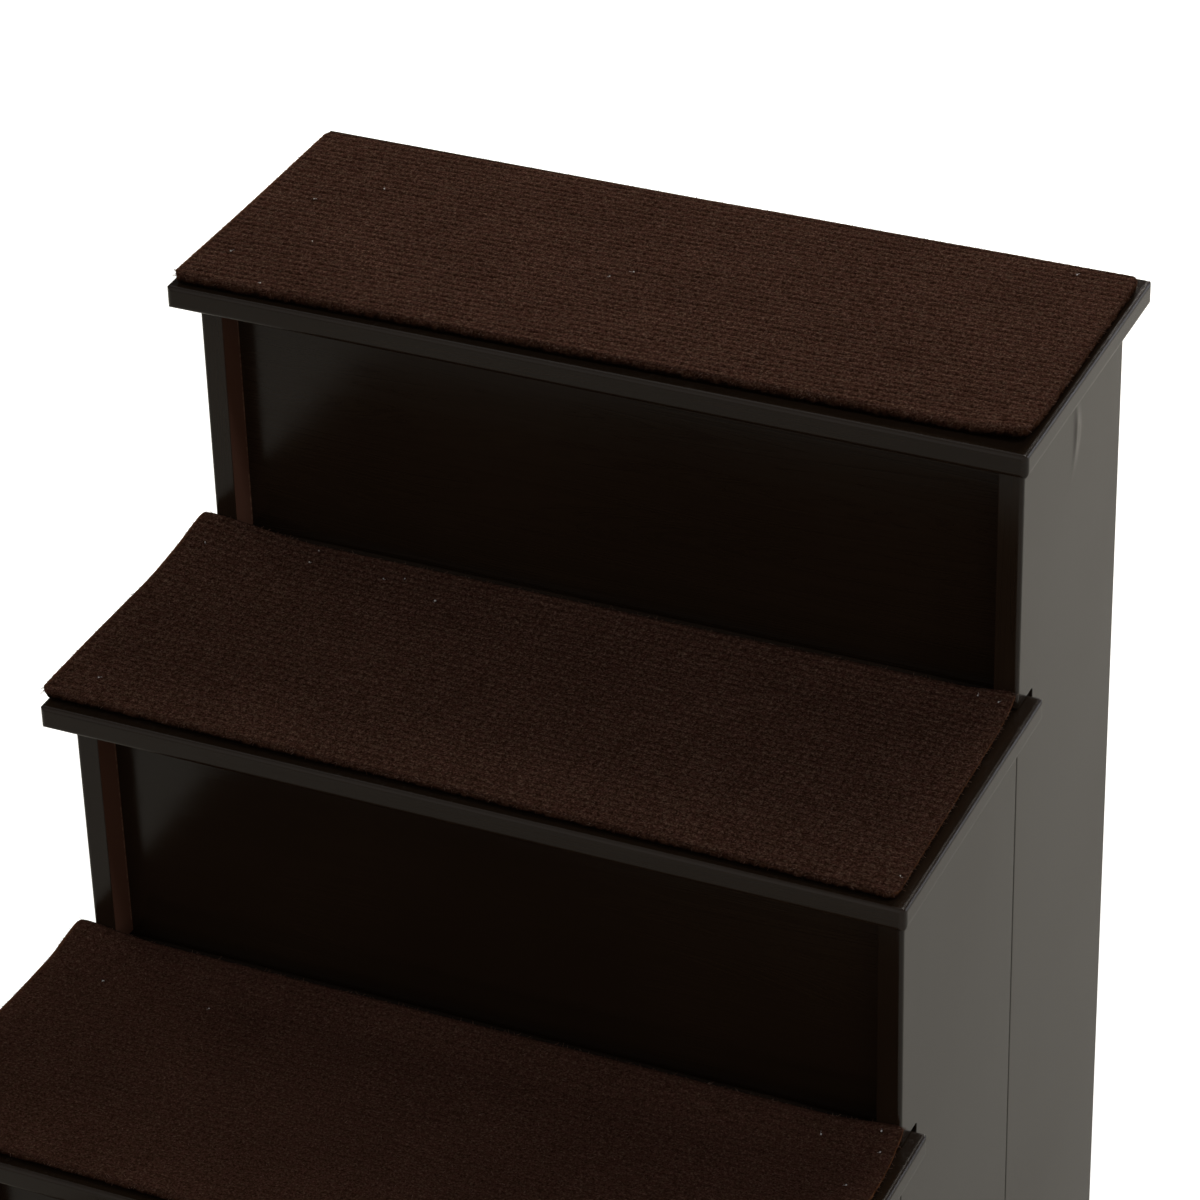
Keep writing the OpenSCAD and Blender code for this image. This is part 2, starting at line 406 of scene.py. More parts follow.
# a run of paint: a long low swelling in the film
sag = {
    "place": (0.193, 0.2095, 0.5125),
    "spread": (0.02, 0.0032, 0.0115),
    "curve": 13.0,
    "rise": 0.6 * mm,
}


def riserSeamMask(tree, plain):
    y = put(tree, "ShaderNodeSeparateXYZ", {0: plain}).outputs[1]
    steps = sums(tree, "DIVIDE", sums(tree, "SUBTRACT", y, riserSeam["from"]), riserSeam["risers"])
    off = sums(tree, "ABSOLUTE", sums(tree, "SUBTRACT", steps, sums(tree, "ROUND", steps)))
    near = remap(tree, times(tree, off, riserSeam["risers"]), riserSeam["half"], riserSeam["half"] * riserSeam["core"])
    breaks = remap(tree, addNoise(tree, plain, *riserSeam["breaks"]), *riserSeam["breakRange"])
    return times(tree, near, breaks)


def sagNormal(tree, plain, normal):
    parts = put(tree, "ShaderNodeSeparateXYZ", {0: vectors(tree, "SUBTRACT", plain, sag["place"])}).outputs
    bent = sums(tree, "MULTIPLY_ADD", times(tree, parts[2], parts[2]), sag["curve"], parts[1])
    where = put(tree, "ShaderNodeCombineXYZ", {0: parts[0], 1: bent, 2: parts[2]}).outputs[0]
    where = vectors(tree, "DIVIDE", where, sag["spread"])
    far = put(tree, "ShaderNodeVectorMath", {0: where}, operation="LENGTH").outputs["Value"]
    swell = sums(tree, "EXPONENT", times(tree, times(tree, far, far), -1.0))
    plugs = {"Strength": 1.0, "Distance": sag["rise"], "Height": swell, "Normal": normal}
    return put(tree, "ShaderNodeBump", plugs).outputs[0]


def makePaint(name, turn, inward=(0, 0, 0), withSag=False):
    material, tree, shader = startMaterial(name)
    plain = objectPlace(tree)
    along = objectPlace(tree, turn=turn)
    grain = useGroup(tree, grainGroup, Vector=along, Density=paint["grainDensity"])
    peel = useGroup(tree, peelGroup, Vector=plain, Size=paint["peelSize"])
    edge = useGroup(tree, edgeGroup, Radius=paint["edgeRadius"])["Edge"]
    dust = useGroup(tree, dustGroup, Vector=plain, Amount=paint["dustAmount"])["Dust"]
    each = put(tree, "ShaderNodeObjectInfo").outputs["Random"]

    tone = remap(tree, grain["Cloud"], 0, 1, *paint["cloudTone"])
    tone = plus(tree, tone, remap(tree, each, 0, 1, *paint["pieceTone"]))
    tone = times(tree, tone, remap(tree, grain["Grain"], 0, 1, *paint["grainTone"]))
    colour = tint(tree, paint["deep"], tone)
    normal = put(tree, "ShaderNodeNewGeometry").outputs["Normal"]
    facing = vectors(tree, "DOT_PRODUCT", normal, inward, "Value")
    inner = remap(tree, facing, *paint["inwardRange"])
    # the inward faces: one coat of paint, and painted lighter as painted light
    colour = blendColours(tree, inner, colour, paint["thinCoatLit"])
    if any(inward):
        colour = blendColours(tree, times(tree, riserSeamMask(tree, plain), inner), colour, riserSeam["colour"])
    rubbed = times(tree, edge, remap(tree, grain["Cloud"], *paint["rubbed"]))
    colour = blendColours(tree, rubbed, colour, paint["worn"])
    colour = blendColours(tree, times(tree, dust, paint["dustCover"]), colour, paint["dust"])

    gloss = remap(tree, grain["Cloud"], 0, 1, *paint["roughness"])
    gloss = plus(tree, gloss, times(tree, grain["Grain"], paint["grainRoughness"]))
    giveLook(tree, shader, colour, plus(tree, gloss, times(tree, dust, paint["dustRoughness"])))

    height = times(tree, grain["Grain"], paint["grainHeight"])
    height = plus(tree, height, times(tree, peel["Peel"], paint["peelHeight"]))
    height = plus(tree, height, times(tree, peel["Nibs"], paint["nibHeight"]))
    rounded = put(tree, "ShaderNodeBevel", {"Radius": paint["bevel"]}, samples=paint["bevelSamples"])
    rounded = rounded.outputs[0]
    if withSag:
        rounded = sagNormal(tree, plain, rounded)
    giveBump(tree, shader, height, *paint["bump"], Normal=rounded)
    shader.inputs["IOR"].default_value = paint["ior"]
    return material


# looks of the small parts; a bump is given as strength and height

beech = {
    "light": (0.60, 0.43, 0.27, 1),
    "dark": (0.46, 0.30, 0.17, 1),
    "grainDensity": 900.0,
    "roughness": (0.55, 0.7),
    "bump": (0.5, 0.05 * mm),
}


def makeBeech():
    material, tree, shader = startMaterial("beechDowel")
    grain = useGroup(tree, grainGroup, Vector=objectPlace(tree), Density=beech["grainDensity"])
    colour = blendColours(tree, grain["Grain"], beech["dark"], beech["light"])
    giveLook(tree, shader, colour, remap(tree, grain["Cloud"], 0, 1, *beech["roughness"]))
    giveBump(tree, shader, grain["Grain"], *beech["bump"])
    return material


zinc = {
    "bright": (0.62, 0.63, 0.65, 1),
    "dull": (0.40, 0.41, 0.42, 1),
    "spangleSize": 2200.0,
    "spangleRange": (0.35, 0.65),
    "roughness": (0.42, 0.28),
    "bump": (0.3, 0.02 * mm),
    "metallic": 1.0,
}


def makeZinc():
    material, tree, shader = startMaterial("zincScrew")
    peel = useGroup(tree, peelGroup, Vector=objectPlace(tree), Size=zinc["spangleSize"])["Peel"]
    spangle = remap(tree, peel, *zinc["spangleRange"])
    colour = blendColours(tree, spangle, zinc["dull"], zinc["bright"])
    giveLook(tree, shader, colour, remap(tree, spangle, 0, 1, *zinc["roughness"]))
    giveBump(tree, shader, peel, *zinc["bump"])
    shader.inputs["Metallic"].default_value = zinc["metallic"]
    return material


rubber = {
    "fresh": (0.055, 0.055, 0.060, 1),
    "scuffed": (0.12, 0.12, 0.12, 1),
    "peelSize": 1600.0,
    "edgeRadius": 0.6 * mm,
    "scuff": (0.4, 0.6, 0.2, 0.8),
    "roughness": (0.3, 0.7, 0.62, 0.8),
    "bump": (0.4, 0.04 * mm),
}


def makeRubber():
    material, tree, shader = startMaterial("glideRubber")
    peel = useGroup(tree, peelGroup, Vector=objectPlace(tree), Size=rubber["peelSize"])["Peel"]
    edge = useGroup(tree, edgeGroup, Radius=rubber["edgeRadius"])["Edge"]
    scuff = times(tree, edge, remap(tree, peel, *rubber["scuff"]))
    colour = blendColours(tree, scuff, rubber["fresh"], rubber["scuffed"])
    giveLook(tree, shader, colour, remap(tree, peel, *rubber["roughness"]))
    giveBump(tree, shader, peel, *rubber["bump"])
    return material


tape = {
    "hook": (0.014, 0.014, 0.015, 1),
    "web": (0.034, 0.033, 0.034, 1),
    "hooks": {"Scale": 1400.0, "Randomness": 0.35},
    "stem": (0.15, 0.5, 1.0, 0.0),
    "roughness": (0.75, 0.45),
    "bump": (0.9, 0.3 * mm),
}


def makeTape():
    material, tree, shader = startMaterial("hookTape")
    hooks = put(tree, "ShaderNodeTexVoronoi", {"Vector": objectPlace(tree), **tape["hooks"]})
    stem = remap(tree, hooks.outputs["Distance"], *tape["stem"])
    colour = blendColours(tree, stem, tape["web"], tape["hook"])
    giveLook(tree, shader, colour, remap(tree, stem, 0, 1, *tape["roughness"]))
    giveBump(tree, shader, stem, *tape["bump"])
    return material


# carpet pads

carpet = {
    "seed": 17,
    "cell": (0.92 * mm, 0.76 * mm),
    "quickCells": 3,
    "cornerRound": 4.0 * mm,
    "edgeRound": 1.1 * mm,
    "rimLevel": 0.4,  # what is left of the loops' height at the very edge
    "rimDrop": 0.5 * mm,
    # painted shade: the share of the loops' brightness left at the very edge of the pad
    "rimShade": 0.55,
    "rimWidth": 1.5 * mm,
    "rimTone": 0.85,
    "endBand": (3 * mm, 2 * mm),  # how wide the ends with cut yarn are, and over how much they fade
    "sideRows": 4,
    "underCuts": 6.0 * mm,
    "underCutCount": 8,
    "weld": 0.35 * mm,
}

# the cut side, from the loops down to the backing
side = {
    "grain": 520,
    "drift": 2.2,
    "ragged": 0.5,
    "out": 0.35,
    "undercutPower": 1.8,
    # painted shade: the cut side is painted darker towards the backing
    "pileShade": (0.62, -1.0, 0.35),  # at the top, what the depth adds, and what the raggedness adds
    "tone": (0.06, 0.9),  # everywhere, and what the left end adds
}

# shapes of the loops, in shares of a loop
loops = {
    "pitch": 4.15 * mm,
    "height": 1.0 * mm,
    "level": 0.62,  # the mean height
    "most": (0.15, 0.20, 0.12, 0.30),  # how much the tip, the middle along X and Y, and the lean may differ
    "reach": (60, 30),
    "rowWander": (0.12, (0.15, 0.6, 3.0)),  # how far, and the wave it follows
    "pitchWander": (0.15, (0.2, 0.9, 8.0)),
    "tip": 0.89,
    "across": (1.25, 2.8),  # the widest part that counts, and the power of the curve
    "down": (1.2, 2.6),
    "gap": 0.80,
    "rough": (0.16, 850),
}

# corners: shifts of the plan's corners; bow: of the left edge; lifts: corner, lift and reach; all in mm.
# shade: painted shade, how much darker the whole pad is painted
padLie = {
    "carpet_1": {
        "corners": ((-1.0, -1.2), (0.8, 0.6), (0.6, -0.4), (-1.2, 0.4)), "bow": 0.8,
        "backLift": 1.2, "undercut": 1.4, "rim": 0.4, "tilt": -0.006, "slant": 0.02, "row": 4.0,
        "ridge": 0.44, "unrest": 0.3, "relief": 0.3, "shade": 0.73, "look": "soft",
        "lifts": (((-1, 1), 2.6, (24, 17)), ((1, -1), 0.8, (20, 20))),
    },
    "carpet_2": {
        "corners": ((-11.0, -3.0), (-1.6, -4.0), (-4.5, 0.4), (-0.4, 0.4)), "bow": -2.5,
        "backLift": 3.8, "undercut": 1.4, "rim": 0.7, "tilt": -0.004, "slant": 0.045, "row": 4.0,
        "ridge": 0.44, "unrest": 0.3, "relief": 0.3, "shade": 0.73, "look": "soft",
        "lifts": (((-1, 1), 3.4, (40, 60)), ((1, 1), 3.4, (36, 22))),
    },
    "carpet_3": {
        "corners": ((-5.8, -2.2), (-0.4, -4.7), (-3.2, 0.4), (-3.0, 0.4)), "bow": -0.8,
        "backLift": 1.7, "undercut": 1.6, "rim": 0.45, "tilt": -0.004, "slant": 0.045, "row": 4.0,
        "ridge": 0.44, "unrest": 0.3, "relief": 0.68, "shade": 0.82, "look": "clear",
        "lifts": (((-1, 1), 5.2, (62, 60)), ((1, 1), 2.6, (28, 16))),
    },
    "carpet_4": {
        "corners": ((-2.0, -6.2), (1.4, -1.0), (0.6, 0.2), (1.4, 3.0)), "bow": 0.4,
        "backLift": 0.0, "undercut": 0.5, "rim": 0.12, "tilt": 0.010, "slant": 0.05, "row": 3.7,
        "ridge": 0.26, "unrest": 0.35, "relief": 0.95, "shade": 1.0, "look": "clear",
        "lifts": (((1, -1), 2.6, (30, 26)),),
    },
}

# how every pad lies besides: a slight swell all over, and the depth over which the back is lifted
lay = {
    "swell": 0.25 * mm,
    "swellWave": (14, 5.0),
    "swellDepth": 5 * mm,
    "backReach": 26 * mm,
    "liftPower": 1.2,
}


def smooth(amount):
    amount = min(1.0, max(0.0, amount))
    return amount * amount * (3 - 2 * amount)


# brings the four corners of a flat rectangle onto quarter circles
def roundPlan(verts, halfWide, halfDeep, radius):
    for v in verts:
        a = (abs(v.co.x) - (halfWide - radius)) / radius
        b = (abs(v.co.y) - (halfDeep - radius)) / radius
        if a > 0 and b > 0:
            v.co.x = math.copysign(halfWide - radius + radius * a * math.sqrt(1 - b * b / 2), v.co.x)
            v.co.y = math.copysign(halfDeep - radius + radius * b * math.sqrt(1 - a * a / 2), v.co.y)


# uneven loops: each has its own height, a shifted middle and a lean
def makeLoops(seed, lie):
    dice = random.Random(seed)
    reachX, reachY = loops["reach"]
    shapes = {
        (i, j): tuple(dice.uniform(-most, most) for most in loops["most"])
        for i in range(-reachX, reachX) for j in range(-reachY, reachY)
    }

    def wander(u, v, far, wave):
        return far * noise.noise(Vector((u * wave[0], v * wave[1], wave[2])))

    def heightAt(x, y):
        u = (x - lie["slant"] * y) / loops["pitch"]
        v = (y - lie["tilt"] * x) / (lie["row"] * mm)
        v += wander(u, v, *loops["rowWander"])
        u += wander(u, v, *loops["pitchWander"])
        i, j = math.floor(u), math.floor(v)
        tip, du, dv, lean = (lie["unrest"] * part for part in shapes[i, j])
        across = min(loops["across"][0], abs(u - i - 0.5 - du) * 2)
        down = min(loops["down"][0], abs(v - j - 0.5 - dv - lean * (u - i - 0.5)) * 2)
        dome = 1 - lie["ridge"] * across ** loops["across"][1] - loops["gap"] * down ** loops["down"][1]
        rough = loops["rough"][0] * noise.noise(Vector((x, y, 0.0)) * loops["rough"][1])
        height = max(0.0, (loops["tip"] + tip) * dome + rough)
        return loops["level"] + lie["relief"] * (height - loops["level"])

    return heightAt


# where a point of the flat, straight pad really lies
def settle(v, lie, wide, deep, number):
    x, y = v.co.xy
    s, t = x / wide + 0.5, y / deep + 0.5
    frontLeft, frontRight, backLeft, backRight = lie["corners"]
    for axis in (0, 1):
        front = frontLeft[axis] * (1 - s) + frontRight[axis] * s
        back = backLeft[axis] * (1 - s) + backRight[axis] * s
        v.co[axis] += (front * (1 - t) + back * t) * mm
    v.co.x += lie["bow"] * mm * (1 - s) ** 3 * math.sin(math.pi * min(1, max(0, t)))
    wave, drift = lay["swellWave"]
    swell = lay["swell"] * noise.noise(Vector((x * wave, y * wave, number * drift)))
    v.co.z += swell * smooth((1 + v.co.z / lay["swellDepth"]) * 2)
    v.co.z += lie["backLift"] * mm * smooth(1 - (deep / 2 - y) / lay["backReach"])
    for corner, lift, reach in lie["lifts"]:
        gapX = abs(corner[0] * wide / 2 - x) / (reach[0] * mm)
        gapY = abs(corner[1] * deep / 2 - y) / (reach[1] * mm)
        v.co.z += lift * mm * smooth(1 - math.hypot(gapX, gapY)) ** lay["liftPower"]


# brings all that lies on a pad, or the pad itself, from round the origin to its tread
def layDown(bm, lie, low, high, number):
    middle = (low + high) / 2
    wide, deep, thick = high - low
    for v in bm.verts:
        settle(v, lie, wide, deep, number)
    bmesh.ops.translate(bm, vec=(middle.x, middle.y, high.z), verts=bm.verts)


def finishMesh(bm, name, material):
    mesh = bpy.data.meshes.new(name)
    bm.to_mesh(mesh)
    bm.free()
    for face in mesh.polygons:
        face.use_smooth = True
    piece = bpy.data.objects.new(name, mesh)
    piece.data.materials.append(material)
    bpy.context.scene.collection.objects.link(piece)
    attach(piece, "root")
    return piece


# 1 at one end of the pad, where the cut yarn shows, and 0 further in: direction is -1 for the left end
def atEnd(x, wide, direction):
    start, full = carpet["endBand"]
    return smooth((direction * x - wide / 2 + start) / full)


# cuts the one large face under the pad into strips, so that it can bend
def cutUnderside(bm, faces, wide, deep):
    gap = carpet["underCuts"]
    counts = range(1, carpet["underCutCount"] + 1)
    spots = [-wide / 2 + gap * k for k in counts]
    cuts = [((s * end, 0, 0), (1, 0, 0)) for s in spots for end in (1, -1)]
    cuts += [((0, deep / 2 - gap * k, 0), (0, 1, 0)) for k in counts[:-1]]
    for where, across in cuts:
        edges = list(dict.fromkeys(e for f in faces for e in f.edges))
        verts = list(dict.fromkeys(v for f in faces for v in f.verts))
        cut = bmesh.ops.bisect_plane(
            bm, geom=faces + edges + verts, dist=carpet["weld"], plane_co=where, plane_no=across
        )["geom"]
        faces = [g for g in cut if isinstance(g, bmesh.types.BMFace)]


def makePad(name, number):
    lie = padLie[name]
    low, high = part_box(name)
    wide, deep, thick = high - low
    bm = bmesh.new()
    # pileShade carries painted shade: darker where the loops are low, towards the edges and down the cut
    # sides
    pileShade = bm.verts.layers.float.new("pileShade")
    rim = bm.verts.layers.float.new("rim")
    coarse = 1
    cells = [round(size / cell / coarse) for size, cell in zip((wide, deep), carpet["cell"])]
    bmesh.ops.create_grid(bm, x_segments=cells[0], y_segments=cells[1], size=0.5)
    bmesh.ops.scale(bm, vec=(wide, deep, 1), verts=bm.verts)
    roundPlan(bm.verts, wide / 2, deep / 2, carpet["cornerRound"])
    top = list(bm.verts)
    edge = [e for e in bm.edges if e.is_boundary]
    rows = carpet["sideRows"]
    sides = []
    for row in range(rows):
        grown = bmesh.ops.extrude_edge_only(bm, edges=edge)["geom"]
        ring = [g for g in grown if isinstance(g, bmesh.types.BMVert)]
        edge = [g for g in grown if isinstance(g, bmesh.types.BMEdge) and g.is_boundary]
        bmesh.ops.translate(bm, vec=(0, 0, -thick / rows), verts=ring)
        sides += [(v, (row + 1) / rows) for v in ring]
    cutUnderside(bm, bmesh.ops.contextual_create(bm, geom=edge)["faces"], wide, deep)
    bmesh.ops.recalc_face_normals(bm, faces=bm.faces)

    loopHeight = makeLoops(number * carpet["seed"], lie)
    left, kept = carpet["rimLevel"], carpet["rimShade"]
    for v in top:
        inside = min(wide / 2 - abs(v.co.x), deep / 2 - abs(v.co.y))
        level = loopHeight(v.co.x, v.co.y)
        fade = smooth(inside / carpet["edgeRound"])
        # painted shade: darker in the hollows between the loops, towards the edge, and over the whole pad
        # by its shade
        v[pileShade] = lie["shade"] * level * (kept + (1 - kept) * fade)
        v[rim] = carpet["rimTone"] * atEnd(v.co.x, wide, -1) * (1 - smooth(inside / carpet["rimWidth"]))
        v.co.z = (level - 1) * loops["height"] * (left + (1 - left) * fade) - (1 - fade) * carpet["rimDrop"]

    corner = carpet["cornerRound"]
    for v, part in sides:
        x, y = v.co.xy
        ragged = noise.noise(Vector((x * side["grain"], y * side["grain"], part * side["drift"] + number)))
        cutBack = lie["undercut"] * part ** side["undercutPower"]  # the backing stays behind the pile
        outward = (side["out"] - cutBack + side["ragged"] * ragged) * mm
        away = Vector((max(0, abs(x) - wide / 2 + corner), max(0, abs(y) - deep / 2 + corner))).normalized()
        v.co.x += math.copysign(away.x, x) * outward
        v.co.y += math.copysign(away.y, y) * outward
        # painted shade: darker down the cut side, towards the backing
        v[pileShade] = side["pileShade"][0] + side["pileShade"][1] * part + side["pileShade"][2] * ragged
        v[rim] = side["tone"][0] + side["tone"][1] * atEnd(x, wide, -1) + lie["rim"] * atEnd(x, wide, 1)

    layDown(bm, lie, low, high, number)
    return finishMesh(bm, name.replace("carpet", "pad"), carpetLooks[lie["look"]])


# look of the carpet

yarn = {
    "deep": (0.0310, 0.0125, 0.0082, 1),
    "main": (0.0880, 0.0380, 0.0262, 1),
    # pale: lighter yarn tips, and painted sheen, a near-grey lightening in place of the fibres' sheen
    "pale": (0.2300, 0.1480, 0.1100, 1),
    "cut": (0.3000, 0.1150, 0.0460, 1),
    "strands": (0.55, 1, 1),
    "twist": (2300.0, 2.0, 0.6),
    "heather": (850.0, 2.0, 0.6),
    "twistShare": 0.55,
    "heatherShare": 0.45,
    "spread": 0.16,
    "mainRange": (0.15, 0.62),
    "paleRange": (0.62, 0.95, 0, 0.6),
    "dye": (330.0, 1.0),
    "dyeRange": (0.35, 0.65, 0, 0.5),
    "dyeColour": (0.86, 1.02, 0.90, 1),
    # painted shade: how the pileShade attribute darkens the yarn in the hollows, at the edges and down the
    # sides
    "depth": (-0.25, 0.85, 0.10, 1.08),
    "patch": (26.0, 3.0),
    "patchRange": (0.3, 0.7, 0.93, 1.07),
    "cutRange": (0.35, 0.65, 0.0, 0.7),
    # painted shade on the cut yarn, darker towards the backing
    "cutShade": (-0.5, 0.6, 0.04, 1.0),
    "roughness": (0.3, 0.7, 0.9, 1.0),
    "twistHeight": 0.6,
    "heatherHeight": 0.5,
    "bump": (0.75, 0.35 * mm),
    "specular": 0.0,
    "contrast": {"clear": ("loopCarpet", 1.25), "soft": ("wornLoopCarpet", 0.85)},
}


def makeCarpetLook(name, contrast):
    material, tree, shader = startMaterial(name)
    pileShade = put(tree, "ShaderNodeAttribute", attribute_name="pileShade").outputs["Fac"]
    rim = put(tree, "ShaderNodeAttribute", attribute_name="rim").outputs["Fac"]
    plain = objectPlace(tree)
    twist = addNoise(tree, objectPlace(tree, scale=yarn["strands"]), *yarn["twist"])
    heather = addNoise(tree, plain, *yarn["heather"])
    dye = addNoise(tree, plain, *yarn["dye"])
    patch = addNoise(tree, plain, *yarn["patch"])

    ends = (0.5 - yarn["spread"] / contrast, 0.5 + yarn["spread"] / contrast)
    mix = times(tree, remap(tree, twist, *ends), yarn["twistShare"])
    mix = plus(tree, mix, times(tree, remap(tree, heather, *ends), yarn["heatherShare"]))
    colour = blendColours(tree, remap(tree, mix, *yarn["mainRange"]), yarn["deep"], yarn["main"])
    # lighter yarn tips, and painted sheen in place of the fibres' sheen
    colour = blendColours(tree, remap(tree, mix, *yarn["paleRange"]), colour, yarn["pale"])
    colour = blendColours(tree, remap(tree, dye, *yarn["dyeRange"]), colour, yarn["dyeColour"], "MULTIPLY")
    # painted shade from the pileShade attribute, times random patches of tone
    depth = times(tree, remap(tree, pileShade, *yarn["depth"]), remap(tree, patch, *yarn["patchRange"]))
    colour = tint(tree, colour, depth)
    cutEnd = blendColours(tree, remap(tree, twist, *yarn["cutRange"]), yarn["cut"], yarn["deep"])
    # painted shade on the cut yarn, darker towards the backing
    cutEnd = tint(tree, cutEnd, remap(tree, pileShade, *yarn["cutShade"]))
    colour = blendColours(tree, rim, colour, cutEnd)
    giveLook(tree, shader, colour, remap(tree, heather, *yarn["roughness"]))

    height = times(tree, twist, yarn["twistHeight"])
    height = plus(tree, height, times(tree, heather, yarn["heatherHeight"]))
    giveBump(tree, shader, height, *yarn["bump"])
    shader.inputs["Specular IOR Level"].default_value = yarn["specular"]
    return material


# loose fibres: along the rim and lying on the loops

fuzz = {
    "seed": 31,
    "rimFibres": 1900,
    "topFibres": 1300,
    "quickShare": 0.25,
    "rimLength": (0.8 * mm, 2.6 * mm),
    "topLength": (0.8 * mm, 2.0 * mm),
    "radius": 0.08 * mm,
    "rimRadius": 0.12 * mm,
    "tipShare": 0.45,
    "rimInset": 0.5 * mm,
    "cornerInset": 0.3,
    "rimDepth": (0.5, 2.2),
    "rimHeading": (0.8, (-1.3, 1.3), (-0.9, 0.6)),  # outwards, sideways and upwards
    "topArea": (0.49, 0.48),
    "topSunk": 1.05,
    "topRise": (0.1, 0.7),
}
fuzzTone = {
    "brown": (0.100, 0.048, 0.033, 1),
    "fair": (0.300, 0.200, 0.160, 1),
    "spread": (260.0, 2.0, 0.7),
    "spreadRange": (0.5, 0.72),
    "fine": (2400.0, 1.0),
    "roughness": (0.3, 0.7, 0.75, 0.95),
    "bump": (0.3, 0.03 * mm),
    "specular": 0.15,
}


def addFibre(bm, foot, heading, length, radius):
    turn = heading.to_track_quat("Z", "Y").to_matrix().to_4x4()
    place = Matrix.Translation(foot + heading.normalized() * length / 2) @ turn
    tip = radius * fuzz["tipShare"]
    bmesh.ops.create_cone(
        bm, cap_ends=True, segments=3, radius1=radius, radius2=tip, depth=length, matrix=place
    )


# adds many small shapes in handfuls, because one long list slows every operator down
def scatter(whole, count, addOne, handful=50):
    part = bmesh.new()
    for k in range(count):
        addOne(part)
        if k % handful == handful - 1 or k == count - 1:
            mesh = bpy.data.meshes.new("handful")
            part.to_mesh(mesh)
            part.free()
            part = bmesh.new()
            whole.from_mesh(mesh)
            bpy.data.meshes.remove(mesh)
    part.free()


def makeFuzz(name, number):
    lie = padLie[name]
    low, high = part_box(name)
    wide, deep, thick = high - low
    dice = random.Random(number * fuzz["seed"])
    loopHeight = makeLoops(number * carpet["seed"], lie)
    bm = bmesh.new()
    share = 1
    corner = carpet["cornerRound"]

    def addAtRim(part):
        along = dice.uniform(0, 2 * (wide + deep))
        if along < 2 * wide:
            out = Vector((0, 1 if along < wide else -1, 0))
            foot = Vector((along % wide - wide / 2, out.y * deep / 2, 0))
        else:
            out = Vector((1 if along < 2 * wide + deep else -1, 0, 0))
            foot = Vector((out.x * wide / 2, (along - 2 * wide) % deep - deep / 2, 0))
        inset = [max(0.0, abs(foot[k]) - size / 2 + corner) for k, size in enumerate((wide, deep))]
        foot -= out * (fuzz["rimInset"] + inset[0] * inset[1] / corner * fuzz["cornerInset"])
        foot.z = -dice.uniform(*fuzz["rimDepth"]) * mm
        outward, sideways, upward = fuzz["rimHeading"]
        stray = Vector((dice.uniform(*sideways), dice.uniform(*sideways), dice.uniform(*upward)))
        addFibre(part, foot, out * outward + stray, dice.uniform(*fuzz["rimLength"]), fuzz["rimRadius"])

    def addOnTop(part):
        x, y = (dice.uniform(-area, area) * size for area, size in zip(fuzz["topArea"], (wide, deep)))
        foot = Vector((x, y, (loopHeight(x, y) - fuzz["topSunk"]) * loops["height"]))
        heading = Vector((dice.uniform(-1, 1), dice.uniform(-1, 1), dice.uniform(*fuzz["topRise"])))
        addFibre(part, foot, heading, dice.uniform(*fuzz["topLength"]), fuzz["radius"])

    scatter(bm, round(fuzz["rimFibres"] * share), addAtRim)
    scatter(bm, round(fuzz["topFibres"] * share), addOnTop)
    layDown(bm, lie, low, high, number)
    return finishMesh(bm, name.replace("carpet", "fuzz"), fuzzLook)


def makeFuzzLook():
    material, tree, shader = startMaterial("looseFibre")
    plain = objectPlace(tree)
    spread = remap(tree, addNoise(tree, plain, *fuzzTone["spread"]), *fuzzTone["spreadRange"])
    fine = addNoise(tree, plain, *fuzzTone["fine"])
    colour = blendColours(tree, spread, fuzzTone["brown"], fuzzTone["fair"])
    giveLook(tree, shader, colour, remap(tree, fine, *fuzzTone["roughness"]))
    giveBump(tree, shader, fine, *fuzzTone["bump"])
    shader.inputs["Specular IOR Level"].default_value = fuzzTone["specular"]
    return material


# pale specks and threads that have settled on the carpet

lint = {
    "seed": 53,
    "above": 0.05 * mm,
    "speck": 0.5 * mm,
    "speckSizes": (0.6, 1.1),
    "dents": (0.6, 1.2),
    "flat": 0.7,
    "thread": (0.8 * mm, 2.6 * mm),
    "threadRadius": 0.08 * mm,
    "lengths": 3,  # bent pieces in a thread
    "overlap": 0.95,
    "rise": 0.05,
    "bend": 0.7,
}
# in mm on the plan of the stairs
lintSpots = {
    "carpet_4": (
        (-17, 194), (-9, 201), (-170, 213), (-152, 178), (-181, 158), (-155, 137), (-145, 232), (170, 265),
    ),
    "carpet_3": (
        (-184, 120), (-176, 11), (180, 134), (190, 132), (193, 6),
        (-135, 135), (-135, 126), (-98, 126), (-89, 129), (-69, 119),
    ),
    "carpet_2": ((-166, -26), (-114, -26), (187, -2), (190, -11), (184, -33), (163, -9)),
    "carpet_1": ((-120, -180), (34, -205), (150, -160)),
}
lintTone = {
    "white": (0.78, 0.76, 0.74, 1),
    "grey": (0.42, 0.40, 0.40, 1),
    "spread": (900.0, 2.0),
    "spreadRange": (0.35, 0.65),
    "roughness": (0.3, 0.7, 0.8, 1.0),
    "bump": (0.5, 0.1 * mm),
}


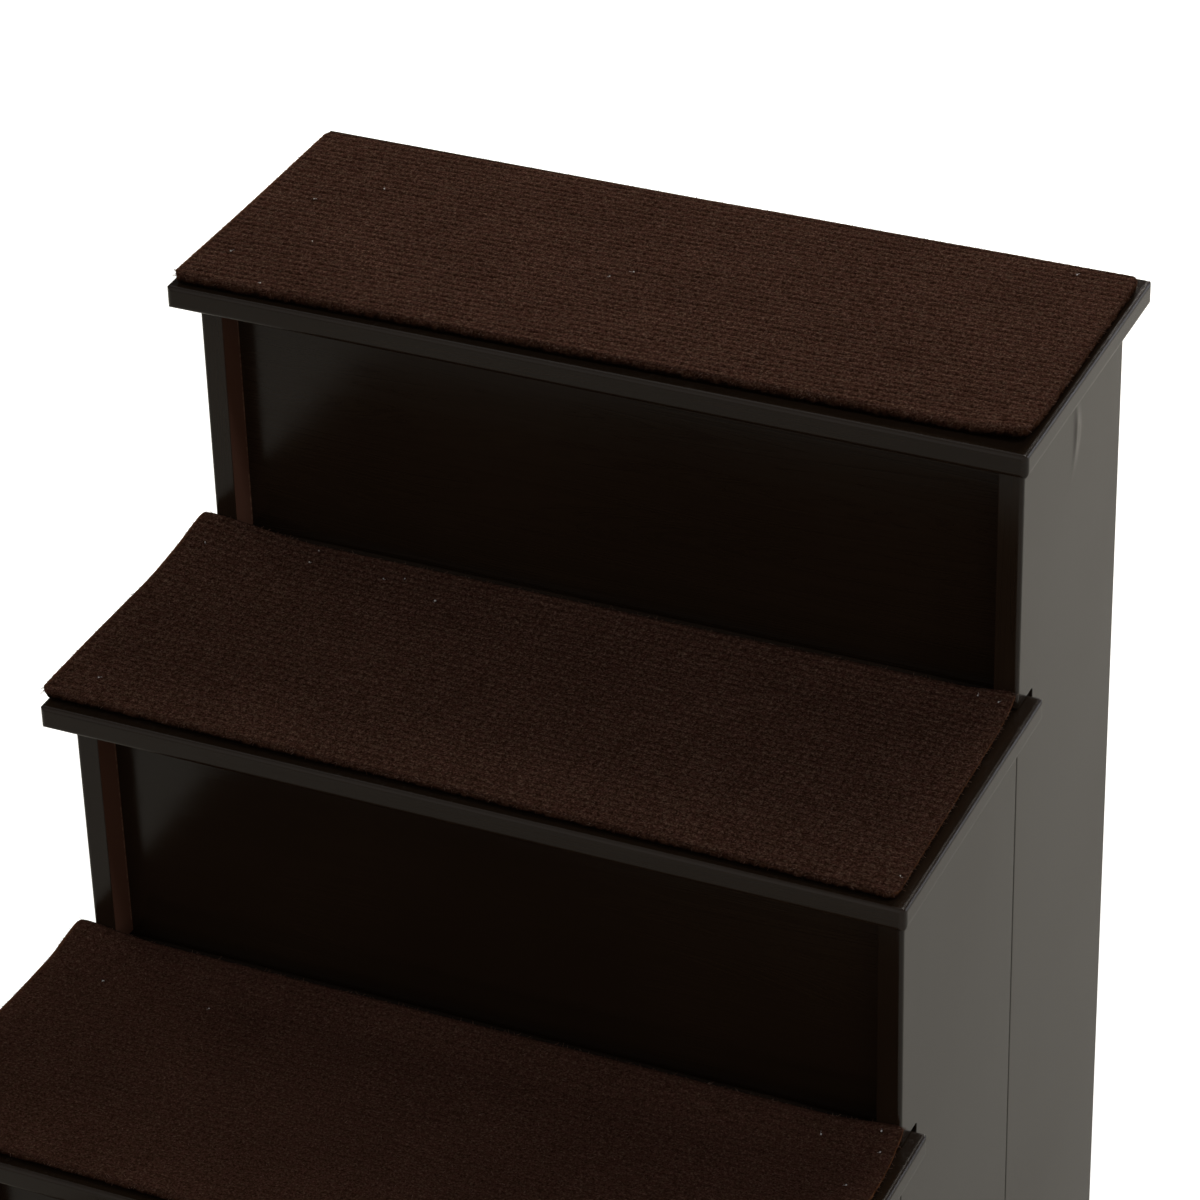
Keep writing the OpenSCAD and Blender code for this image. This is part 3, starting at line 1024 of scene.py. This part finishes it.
def makeLint(name, number):
    low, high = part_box(name)
    middle = (low + high) / 2
    dice = random.Random(number * lint["seed"])
    bm = bmesh.new()
    bend = lint["bend"]
    for x, y in lintSpots[name]:
        spot = Vector((x * mm - middle.x, y * mm - middle.y, lint["above"]))
        size = lint["speck"] * dice.uniform(*lint["speckSizes"])
        place = Matrix.Translation(spot)
        for v in bmesh.ops.create_icosphere(bm, subdivisions=1, radius=size, matrix=place)["verts"]:
            v.co = spot + (v.co - spot) * dice.uniform(*lint["dents"])
            v.co.z = spot.z + (v.co.z - spot.z) * lint["flat"]
        heading = Vector((dice.uniform(-1, 1), dice.uniform(-1, 1), lint["rise"]))
        for piece in range(lint["lengths"]):
            length = dice.uniform(*lint["thread"]) / lint["lengths"]
            addFibre(bm, spot, heading, length, lint["threadRadius"])
            spot = spot + heading.normalized() * length * lint["overlap"]
            heading += Vector((dice.uniform(-bend, bend), dice.uniform(-bend, bend), 0))
    layDown(bm, padLie[name], low, high, number)
    return finishMesh(bm, name.replace("carpet", "lint"), lintLook)


def makeLintLook():
    material, tree, shader = startMaterial("paleLint")
    spread = addNoise(tree, objectPlace(tree), *lintTone["spread"])
    whiteness = remap(tree, spread, *lintTone["spreadRange"])
    colour = blendColours(tree, whiteness, lintTone["grey"], lintTone["white"])
    giveLook(tree, shader, colour, remap(tree, spread, *lintTone["roughness"]))
    giveBump(tree, shader, spread, *lintTone["bump"])
    return material


# build

upright = (0, math.pi / 2, 0)
lengthways = (0, 0, math.pi / 2)
looks = {
    "paintAcross": makePaint("espressoPaintAcross", (0, 0, 0)),
    "paintLeft": makePaint("espressoPaintLeft", upright, inward=(1, 0, 0)),
    "paintRight": makePaint("espressoPaintRight", upright, inward=(-1, 0, 0)),
    "paintSag": makePaint("espressoPaintSag", upright, inward=(-1, 0, 0), withSag=True),
    "paintBack": makePaint("espressoPaintBack", lengthways),
    "hook_tape": makeTape(),
    "beech": makeBeech(),
    "zinc": makeZinc(),
    "glide_rubber": makeRubber(),
}
carpetLooks = {key: makeCarpetLook(*settings) for key, settings in yarn["contrast"].items()}
fuzzLook = makeFuzzLook()
lintLook = makeLintLook()
print("looks made")

for nodeName, node in nodes.items():
    slotName = slotOf[nodeName]
    if slotName == "carpet":
        continue
    if nodeName == "right_board_4":
        slotName = "paintSag"
    elif "board" in nodeName:
        slotName = "paintLeft" if "left" in nodeName else "paintRight"
    elif slotName == "espresso_paint":
        slotName = "paintBack" if "batten" in nodeName else "paintAcross"
    node.data.materials.clear()
    node.data.materials.append(looks[slotName])
print("looks given to the boards and the small parts")

for number in (1, 2, 3, 4):
    padName = "carpet_%d" % number
    pad = makePad(padName, number)
    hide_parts(padName)
    loose = [makeFuzz(padName, number), makeLint(padName, number)]
    print("pad", number, "faces:", len(pad.data.polygons))
